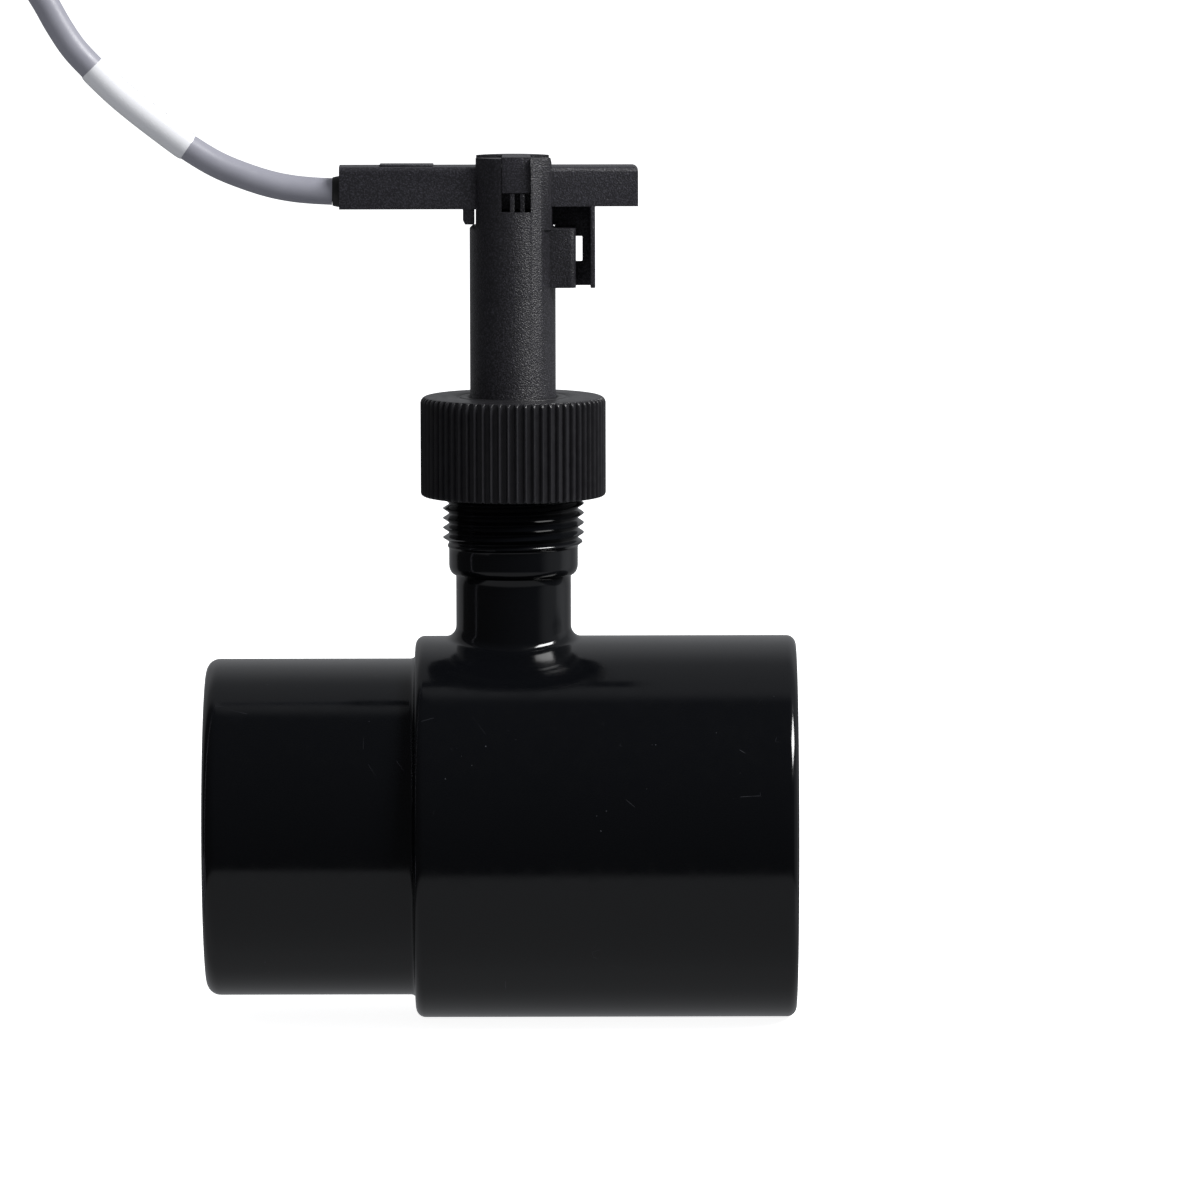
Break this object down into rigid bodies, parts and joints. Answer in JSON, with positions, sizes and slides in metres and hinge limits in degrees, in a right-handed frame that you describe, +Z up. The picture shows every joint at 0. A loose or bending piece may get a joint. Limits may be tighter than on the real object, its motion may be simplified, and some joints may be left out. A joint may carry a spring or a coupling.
{
  "type": "paddle flow switch",
  "caption": "Paddle flow switch in a black solvent-weld pipe tee, with a ribbed union nut, a tall switch column, a clip-on reed contact bar and a grey cable.",
  "frame": {"origin": "centre of the stop in the pipe socket, on the pipe axis", "axes": "+X out of the socket mouth along the pipe, +Z up the neck and column, +Y to the back"},
  "size_m": [0.225, 0.0743, 0.2055],
  "materials": {
    "pvc": "glossy black pressure pipe PVC with fine scratches",
    "moulding": "fine-grained black glass-filled plastic",
    "nut": "satin black plastic",
    "seal": "soft black rubber",
    "steel": "stainless steel",
    "magnet": "grey ferrite",
    "lever": "natural acetal",
    "slip": "natural nylon",
    "resin": "cast epoxy",
    "glass": "clear green-tinted glass",
    "contact": "plated nickel-iron",
    "cable_grey": "satin grey cable jacket",
    "label_white": "white film sleeve",
    "tie_black": "black nylon",
    "core_brown": "brown core insulation",
    "core_blue": "blue core insulation",
    "tin": "tinned copper ferrule"
  },
  "bodies": {
    "housing": {"tee_body": "pvc", "insert_column": "moulding", "skirt_o_ring": "seal", "flange_gasket": "seal", "hinge_pin": "steel", "return_magnet": "magnet", "cable_run": "cable_grey", "cable_label": "label_white", "cable_coil": "cable_grey", "tie_front": "tie_black", "tie_rear": "tie_black", "cable_tail": "cable_grey", "core_brown": "core_brown", "core_blue": "core_blue", "ferrule_brown": "tin", "ferrule_blue": "tin"},
    "nut_seat": {"slip_ring": "slip"},
    "nut": {"union_nut": "nut"},
    "paddle": {"paddle_lever": "lever", "paddle_blade": "steel", "blade_rivets": "steel", "paddle_magnet": "magnet"},
    "carrier": {"carrier_bar": "moulding", "carrier_lid": "moulding", "gland_stub": "seal", "potting": "resin", "reed_glass": "glass", "reed_lead_left": "contact", "reed_lead_right": "contact"},
    "latch": {"snap_arm": "moulding"}
  },
  "joints": [
    {"name": "nut_spin", "type": "hinge", "parent": "nut_seat", "child": "nut", "pos_m": [-0.0148, 0, 0.07], "axis": [0, 0, 1], "range_deg": [0, 2340]},
    {"name": "nut_rise", "type": "slide", "parent": "housing", "child": "nut_seat", "axis": [0, 0, 1], "range_m": [0, 0.0119]},
    {"name": "paddle_swing", "type": "hinge", "parent": "housing", "child": "paddle", "pos_m": [-0.0148, 0, 0.0641], "axis": [0, -1, 0], "range_deg": [0, 4.5]},
    {"name": "carrier_lift", "type": "slide", "parent": "housing", "child": "carrier", "axis": [0, 0, 1], "range_m": [0, 0.005]},
    {"name": "latch_flex", "type": "hinge", "parent": "carrier", "child": "latch", "pos_m": [-0.0024, 0.004, 0.1166], "axis": [1, 0, 0], "range_deg": [0, 8]}
  ],
  "couplings": [
    {"joint": "nut_rise", "follows": "nut_spin", "m_per_rad": 0.00028871},
    {"joint": "latch_flex", "follows": "carrier_lift", "rad_per_m": 27.9}
  ]
}
